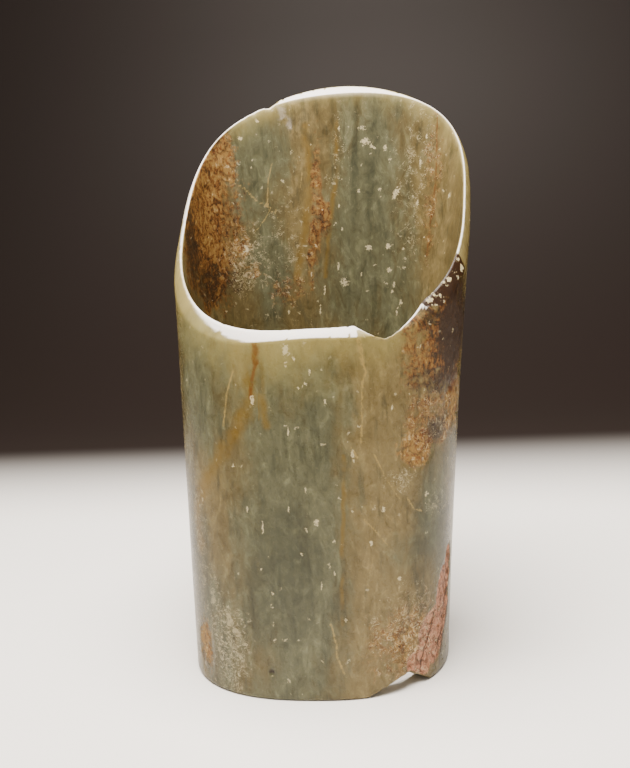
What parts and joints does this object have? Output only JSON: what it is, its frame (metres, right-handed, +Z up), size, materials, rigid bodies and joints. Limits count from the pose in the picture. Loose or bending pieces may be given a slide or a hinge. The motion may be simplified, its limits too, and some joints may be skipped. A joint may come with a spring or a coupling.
{
  "type": "jade tube with a slanting mouth",
  "caption": "Hollow oval tube of polished jade, open at both ends, with a flat foot and a slanting, thin-edged mouth.",
  "frame": {"origin": "middle of the bounding box, on the flat foot's plane", "axes": "+Z up along the tube, -Y towards the low lip of the slanting mouth, +Y towards the high lip"},
  "size_m": [0.082, 0.0696, 0.1608],
  "materials": {
    "polished_jade": "polished, weathered in patches"
  },
  "bodies": {
    "root": {"jade_tube": "polished_jade"}
  },
  "joints": []
}
